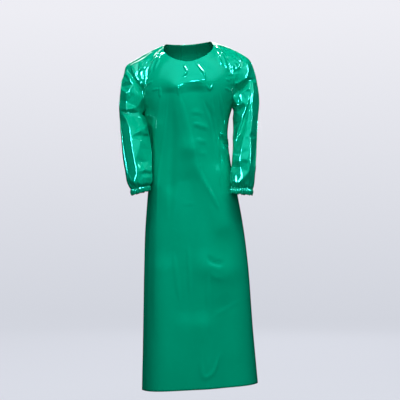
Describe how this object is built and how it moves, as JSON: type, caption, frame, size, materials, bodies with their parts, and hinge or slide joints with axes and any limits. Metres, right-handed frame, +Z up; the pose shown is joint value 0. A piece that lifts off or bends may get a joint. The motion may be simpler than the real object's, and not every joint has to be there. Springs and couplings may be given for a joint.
{
  "type": "reusable protective gown",
  "caption": "Long glossy film protective gown in its worn shape, with raglan sleeves, a round neck, elasticated cuffs and a tied open back.",
  "frame": {"origin": "middle of the neck opening, level with the shoulders that carry the gown", "axes": "+Z up, the wearer faces -Y and the wearer's left is +X"},
  "size_m": [0.559, 0.3162, 1.3924],
  "materials": {
    "film": "glossy green polyurethane film",
    "cuff": "glossy green polyurethane film",
    "strap": "glossy green polyurethane film"
  },
  "bodies": {
    "root": {"back_panel_left": "film", "back_panel_right": "film", "cuff_left": "cuff", "cuff_right": "cuff", "front_panel": "film", "neck_knot": "strap", "neck_strap_left": "strap", "neck_strap_right": "strap", "neck_tail_left": "strap", "neck_tail_right": "strap", "sleeve_left": "film", "sleeve_right": "film", "waist_knot": "strap", "waist_strap_left": "strap", "waist_strap_right": "strap", "waist_tail_left": "strap", "waist_tail_right": "strap"}
  },
  "joints": []
}
